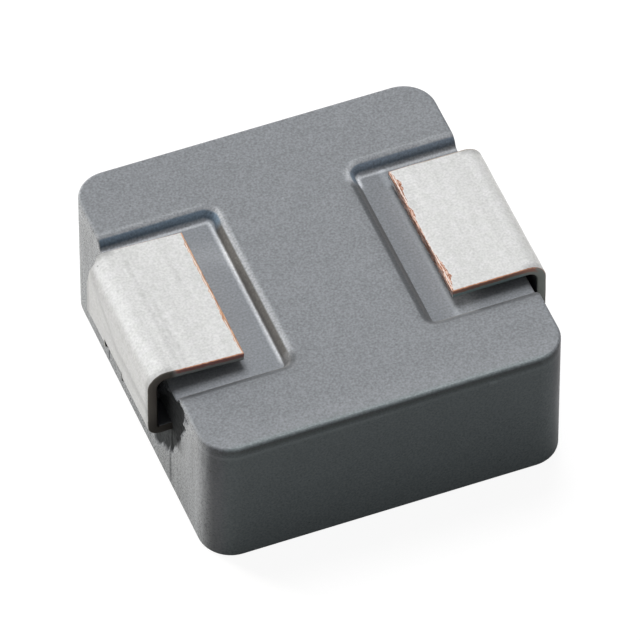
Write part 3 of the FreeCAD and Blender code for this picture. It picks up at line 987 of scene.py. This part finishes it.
# %% The torn free edge: bare copper with a pale rim of torn tin
def torn_copper(finish, surface, ragged, pad_end, colours):
    scratched = finish.grain(0.020, detail=3.0, place=finish.stretched(1.0, 0.12, 1.0))
    past = abs(finish.x) + (scratched - 0.5) * 0.02 - pad_end
    # Painted highlight: a broken near-white line along the torn edge.
    copper_glint_line = peak(past, 0.030, 0.013) * finish.grain(0.25).rise(0.32, 0.48)
    bare = finish.mix(scratched.rise(0.44, 0.58), colours["dark_copper"], colours["pale_copper"])
    bare = finish.mix(copper_glint_line, bare, COPPER_GLINT)
    frayed = finish.stored("torn") + ragged * 0.3
    surface = finish.mix(frayed.rise(0.35, 0.55), surface, bare)
    surface = finish.mix(peak(frayed, 0.52, 0.12) * 0.7, surface, colours["dark_copper"])
    return finish.mix(peak(frayed, 0.28, 0.12) * 0.7, surface, TORN_TIN)


# %% Tinned copper, for the strip of one side
def tinned_copper(name, side):
    colours = STRIP_COLOURS[side]
    finish = Finish(name, Metallic=1.0)
    through = finish.stored("through")
    mottle = finish.grain(0.14, detail=4.0, roughness=0.6)
    fine = finish.grain(0.04, detail=2.0)
    ridges = finish.grain(0.09, detail=2.0, place=finish.stretched(1.0, 0.06, 1.0))
    ragged = finish.grain(0.07, detail=3.0) - 0.5
    off_pad = abs(finish.x).rise(3.00, 3.12)

    tone = tin_tone(finish, mottle, fine, off_pad, DIE_MARKS[side])
    surface = finish.scaled(finish.mix(mottle, COOL_TIN, WARM_TIN), tone)
    # Painted shade: the strip's inner face below the shoulder is dark.
    inner_face_shade = through.rise(0.9, 1.0) * finish.z.rise(2.5, 2.2)
    surface = finish.mix(inner_face_shade, surface, INNER_TIN_SHADE)
    cut = (abs(finish.y) + ragged * 0.02).rise(STRIP_HALF - 0.025, STRIP_HALF - 0.015)
    edge = cut_edge(finish, through, ragged, off_pad, COPPER_REACH[side], colours)
    surface = finish.mix(cut, surface, edge)
    surface = torn_copper(finish, surface, ragged, PAD_END[side], colours)
    far_edge = finish.y.rise(STRIP_HALF - 0.045, STRIP_HALF - 0.030) * finish.x.rise(2.2, 2.5)
    surface = finish.mix(far_edge * 0.6, surface, FAR_EDGE_COPPER)
    filled = finish.stored("filled")
    powder = filled.rise(0.35, 0.75)
    surface = finish.mix(powder, surface, SLOT_POWDER)
    # Painted shade: the crack round the filling is nearly black.
    surface = finish.mix(peak(filled, 0.35, 0.3), surface, SLOT_CRACK_SHADE)

    finish.feed("Base Color", surface)
    finish.feed("Metallic", 1.0 - powder)
    finish.feed("Roughness", 0.38 + (mottle - 0.5) * 0.12 + cut.at_least(powder) * 0.2)
    finish.relief(mottle * 0.5 + fine * 0.25 + ridges * 0.35, 0.004)
    return finish.material


left_tin = tinned_copper("tinned_copper_left", -1)
right_tin = tinned_copper("tinned_copper_right", 1)
print(f"tinned copper: {len(left_tin.node_tree.nodes)} shader nodes for each strip")

# %% Make the left terminal
left_level = left_low.z + HALF_SHEET
left_strip = folded_strip(-1, -left_low.x, LEFT_TILT, left_level, -left_high.x, SLOT_SHIFT)
bmesh.ops.recalc_face_normals(left_strip, faces=left_strip.faces)
sink_slot(left_strip, SLOT_SHIFT)
squeeze_fold(left_strip)
roughen(left_strip, -1, -left_low.x)
finish_piece(left_strip, "left_terminal", "terminal_left", [left_tin])

# %% Make the right terminal
right_strip = folded_strip(1, right_high.x, 0, RIGHT_TAB_LEVEL, right_low.x, -SLOT_SHIFT)
bmesh.ops.recalc_face_normals(right_strip, faces=right_strip.faces)
sink_slot(right_strip, -SLOT_SHIFT)
roughen(right_strip, 1, right_high.x)
finish_piece(right_strip, "right_terminal", "terminal_right", [right_tin])


# %% [markdown]
# ## The winding inside
#
# The coil is sealed in the powder, and the CAD's own mesh has its right shape.
# It keeps that mesh and gets the finish of enamelled copper wire, in case
# someone cuts the block open.

# %% Enamelled copper
def enamelled_copper():
    finish = Finish("enamelled_copper", Metallic=1.0, Coat_Weight=0.7, Coat_Roughness=0.12)
    drawn = finish.grain(0.2, detail=3.0, place=finish.stretched(1.0, 1.0, 6.0))
    finish.feed("Base Color", finish.mix(drawn, (0.50, 0.19, 0.08, 1), (0.68, 0.30, 0.14, 1)))
    finish.feed("Roughness", 0.24 + drawn * 0.16)
    finish.relief(drawn, 0.004)
    return finish.material


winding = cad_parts["winding"]
winding.data.materials.clear()
winding.data.materials.append(enamelled_copper())
print(f"winding: {len(winding.data.polygons)} faces of the CAD's own mesh")

# %% [markdown]
# ## The paper under the part
#
# The part lies on a sheet of white paper. One bright colour would do for the
# sheet, but it would also throw its light up into the shaded faces. Here Light
# Path tells the paper which ray is looking. The camera sees a nearly white glow
# on a dull ground, which still catches the part's shadow. Light that bounces
# finds the dull ground alone. The tin mirrors a paler sheet, with painted shade
# that makes it a little darker under the part and beside it.

# %% Floor
PAPER_GAP = 0.001
PAPER_DULL = (0.15, 0.15, 0.15, 1)
PAPER_GLOW = (0.92, 0.92, 0.92, 1)
PAPER_MIRRORED = (0.63, 0.63, 0.63, 1)
PAPER_MIRRORED_SHADE = (0.54, 0.55, 0.54, 1)

floor_bm = bmesh.new()
bmesh.ops.create_grid(floor_bm, x_segments=1, y_segments=1, size=0.5)
bmesh.ops.translate(floor_bm, vec=(0, 0, -PAPER_GAP * MM), verts=floor_bm.verts)
floor_mesh = bpy.data.meshes.new("studio_floor")
floor_bm.to_mesh(floor_mesh)
floor_bm.free()
floor_finish = Finish("studio_paper", Roughness=0.9, Specular_IOR_Level=0.0, Emission_Strength=1)
seen_by_camera = floor_finish.node("ShaderNodeLightPath", out="Is Camera Ray")
seen_by_diffuse = floor_finish.node("ShaderNodeLightPath", out="Is Diffuse Ray")
# Painted shade: the mirrored paper is darker under the part and beside it.
mirrored_shade_by_part = abs(floor_finish.x).rise(3.9, 3.3)
paper = floor_finish.mix(mirrored_shade_by_part, PAPER_MIRRORED, PAPER_MIRRORED_SHADE)
paper = floor_finish.mix(seen_by_diffuse, paper, PAPER_DULL)
paper = floor_finish.mix(seen_by_camera, paper, PAPER_DULL)
floor_finish.feed("Base Color", paper)
floor_finish.feed("Emission Color", floor_finish.mix(seen_by_camera, (0, 0, 0, 1), PAPER_GLOW))
floor_mesh.materials.append(floor_finish.material)
floor = bpy.data.objects.new("studio_floor", floor_mesh)
bpy.context.scene.collection.objects.link(floor)
print(f"paper: {PAPER_GAP} mm below the part")

# %% [markdown]
# ## The camera
#
# The camera stands left of the near side and looks down, as the photograph was
# taken. Its angle, distance and focal length were worked out from the block's
# outline. It is far off and its lens is long, so the block's edges run nearly
# parallel. Distances are in millimetres, the focal length is in picture points,
# and VIEW_ASIDE is how far the block's middle lies right of and above the
# picture's middle.

# %% Camera
VIEW_AZIMUTH = math.radians(-21.547)
VIEW_ELEVATION = math.radians(48.771)
VIEW_DISTANCE = 169.27
VIEW_CENTRE = Vector((0, 0, TOP / 2))
VIEW_ASIDE = Vector((-0.032, 0.020))
FOCAL_PIXELS = 10295.4
FRAME_PIXELS = 640
SENSOR = 36

back = Vector((math.sin(VIEW_AZIMUTH) * math.cos(VIEW_ELEVATION),
               -math.cos(VIEW_AZIMUTH) * math.cos(VIEW_ELEVATION), math.sin(VIEW_ELEVATION)))
right = Vector((math.cos(VIEW_AZIMUTH), math.sin(VIEW_AZIMUTH), 0))
up = back.cross(right)
place = VIEW_CENTRE - VIEW_ASIDE.x * right - VIEW_ASIDE.y * up + VIEW_DISTANCE * back
lens = bpy.data.cameras.new("studio_camera")
lens.sensor_width = SENSOR
lens.lens = FOCAL_PIXELS / FRAME_PIXELS * SENSOR
lens.clip_start = 0.01
lens.clip_end = 10
camera = bpy.data.objects.new("studio_camera", lens)
turn = Matrix((right, up, back)).transposed().to_4x4()
camera.matrix_world = Matrix.Translation(place * MM) @ turn
bpy.context.scene.collection.objects.link(camera)
bpy.context.scene.camera = camera
print(f"camera: {VIEW_DISTANCE:.0f} mm away, lens {lens.lens:.0f} mm")

# %% [markdown]
# ## Lamps, and the room round the part
#
# A soft lamp from above and behind lights the flat faces. A low, slightly warm
# one from the left lights the left end face. Both are hidden from reflections,
# because the tin would show them as hard spots. It mirrors only the paper and the
# room, which is a little darker towards the horizon and brighter on the left. As
# a light the room is much dimmer, so the lamps give the part its shape.


# %% Lamps
def sun(name, azimuth, elevation, level, spread, colour=(1, 1, 1)):
    """A soft lamp, angles in degrees. level is what a white surface that faces it shows."""
    lamp = bpy.data.lights.new(name, "SUN")
    lamp.energy = level * math.pi
    lamp.color = colour
    lamp.angle = math.radians(spread)
    holder = bpy.data.objects.new(name, lamp)
    azimuth, elevation = math.radians(azimuth), math.radians(elevation)
    towards = Vector((math.sin(azimuth) * math.cos(elevation),
                      -math.cos(azimuth) * math.cos(elevation), math.sin(elevation)))
    holder.rotation_euler = towards.to_track_quat("Z", "Y").to_euler()
    holder.visible_glossy = False
    bpy.context.scene.collection.objects.link(holder)
    print(f"{name}: level {level}")


sun("overhead", 180, 63, 0.92, 34)
sun("left_card", 214, 9, 2.12, 16, (1.0, 0.96, 0.90))

# %% Surroundings
ROOM_LEVEL = 1.04
LEFT_GAIN = 0.20
HORIZON_SHARE = 0.84
HORIZON_TOP = 0.4
ROOM_AS_LIGHT = 0.15

world = bpy.data.worlds.new("studio_world")
bpy.context.scene.world = world
world.use_nodes = True
room = Wiring(world.node_tree, "Background")
towards_right, _, upwards = room.split(room.node("ShaderNodeTexCoord", out="Generated"))
lights_part = room.node("ShaderNodeLightPath", out="Is Diffuse Ray")
horizon_ends = {"Value": upwards, "From Max": HORIZON_TOP, "To Min": HORIZON_SHARE}
horizon = room.node("ShaderNodeMapRange", None, horizon_ends)
mirrored = (ROOM_LEVEL - towards_right * LEFT_GAIN) * horizon
room.feed("Strength", mirrored * (1.0 - lights_part) + lights_part * ROOM_AS_LIGHT)
room.shader.inputs["Color"].default_value = (1, 1, 1, 1)
bpy.context.scene.view_settings.view_transform = "Standard"
print(f"room: {len(world.node_tree.nodes)} nodes")
